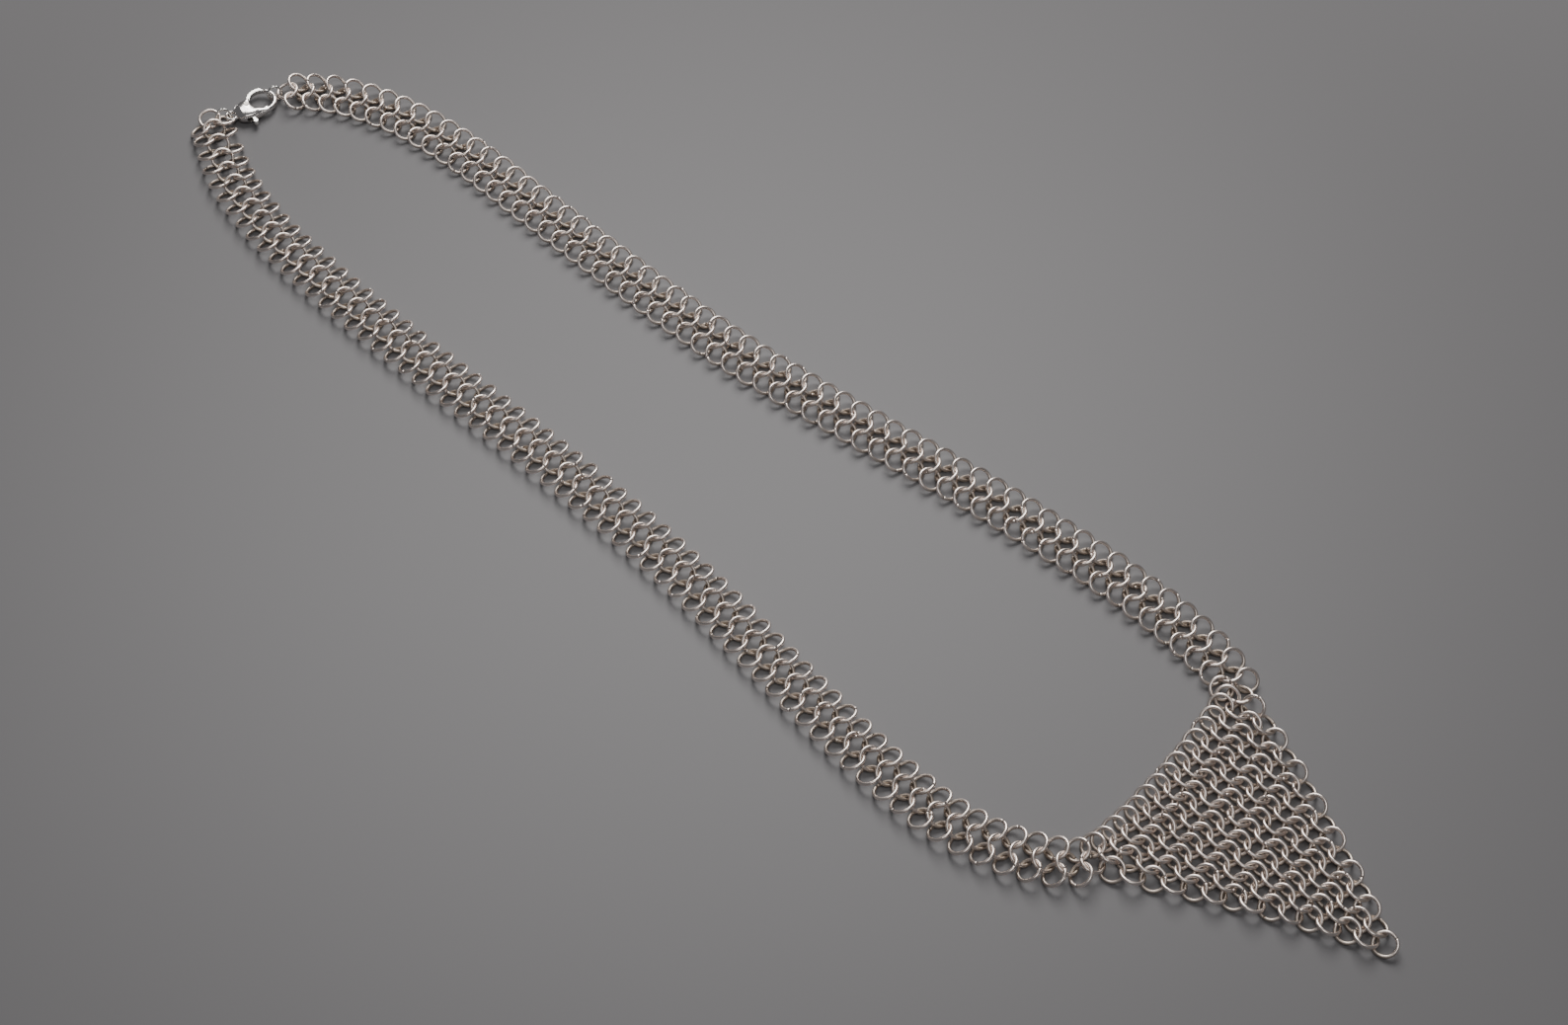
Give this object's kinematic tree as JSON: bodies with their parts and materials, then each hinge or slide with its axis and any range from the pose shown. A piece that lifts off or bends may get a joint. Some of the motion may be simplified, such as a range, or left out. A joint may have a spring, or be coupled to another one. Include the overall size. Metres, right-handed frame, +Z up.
{
  "type": "three-row chain-mail ribbon necklace with a triangular mail pendant",
  "caption": "Chain-mail ribbon necklace lying flat, with a triangular mail pendant at the front and a lobster clasp whose sprung lever opens the hook.",
  "frame": {"origin": "centre of the footprint on the table, under the middle of the necklace's outline", "axes": "+Y from the pendant's point to the clasp, +X to the right ribbon, +Z up from the table"},
  "size_m": [0.0692, 0.29, 0.0032],
  "materials": {
    "mail_wire": "drawn silver wire, tumbled to a soft shine",
    "jump_ring_wire": "drawn silver wire, bright",
    "clasp_metal": "cast silver, polished",
    "pin_steel": "rivet end, filed flush"
  },
  "bodies": {
    "necklace": {"ribbon_right": "mail_wire", "ribbon_left": "mail_wire", "pendant_top_rows": "mail_wire", "pendant_mail": "mail_wire", "end_ring_right": "mail_wire", "end_ring_left": "mail_wire", "jump_ring_right": "jump_ring_wire", "jump_ring_left": "jump_ring_wire", "clasp_body": "clasp_metal", "clasp_pin": "pin_steel"},
    "lever": {"clasp_lever": "clasp_metal"}
  },
  "joints": [
    {"name": "clasp_lever_hinge", "type": "hinge", "parent": "necklace", "child": "lever", "pos_m": [-0.00585, 0.13979, 0.0013], "axis": [0, 0, -1], "range_deg": [0, 12], "stiffness_Nm_per_rad": 0.01, "springref_deg": -17.19}
  ]
}
